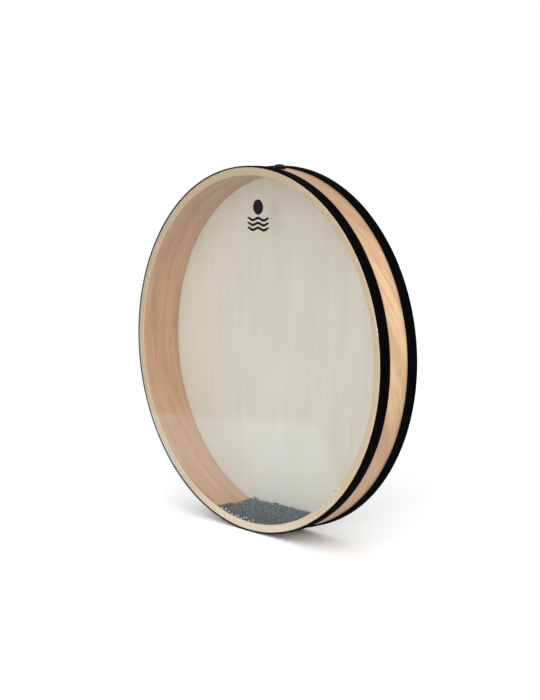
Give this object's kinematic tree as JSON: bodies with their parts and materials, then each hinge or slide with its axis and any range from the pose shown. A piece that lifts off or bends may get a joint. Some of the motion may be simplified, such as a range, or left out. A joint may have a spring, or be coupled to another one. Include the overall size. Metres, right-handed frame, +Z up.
{
  "type": "ocean drum",
  "caption": "Ocean drum: bent-wood hoop with a clear front head, a fibrous rear head, black edge tapes, a filler plug and loose steel beads that roll inside.",
  "frame": {"origin": "centre of the drum, on its axis and mid-way between its two heads", "axes": "+Y along the drum's axis from the clear front head to the rear head; +Z up in the playing pose shown, with the beads at the bottom; +X to the right seen from the front"},
  "size_m": [0.406, 0.054, 0.4077],
  "materials": {
    "hoop_wood": "clear satin lacquer over bent laminated wood",
    "clear_film": "clear glossy polyester film",
    "fibre_film": "matt cream fibrous synthetic skin",
    "black_tape": "black woven cloth tape",
    "black_rubber": "smooth black rubber",
    "bead_steel": "dark blue-grey polished steel shot"
  },
  "bodies": {
    "shell": {"frame_hoop": "hoop_wood", "front_head": "clear_film", "rear_head": "fibre_film", "front_edge_tape": "black_tape", "rear_edge_tape": "black_tape", "filler_grommet": "black_rubber"},
    "stopper": {"filler_plug": "black_rubber"},
    "bead_fill": {"bead_heap": "bead_steel", "bead_01": "bead_steel", "bead_02": "bead_steel", "bead_03": "bead_steel", "bead_04": "bead_steel", "bead_05": "bead_steel", "bead_06": "bead_steel", "bead_07": "bead_steel", "bead_08": "bead_steel", "bead_09": "bead_steel", "bead_10": "bead_steel", "bead_11": "bead_steel", "bead_12": "bead_steel", "bead_13": "bead_steel", "bead_14": "bead_steel", "bead_15": "bead_steel", "bead_16": "bead_steel", "bead_17": "bead_steel"}
  },
  "joints": [
    {"name": "bead_roll", "type": "hinge", "parent": "shell", "child": "bead_fill", "pos_m": [0, 0, 0], "axis": [0, 1, 0], "continuous": true},
    {"name": "plug_pull", "type": "slide", "parent": "shell", "child": "stopper", "axis": [0.1045, 0, 0.9945], "range_m": [0, 0.012]}
  ]
}
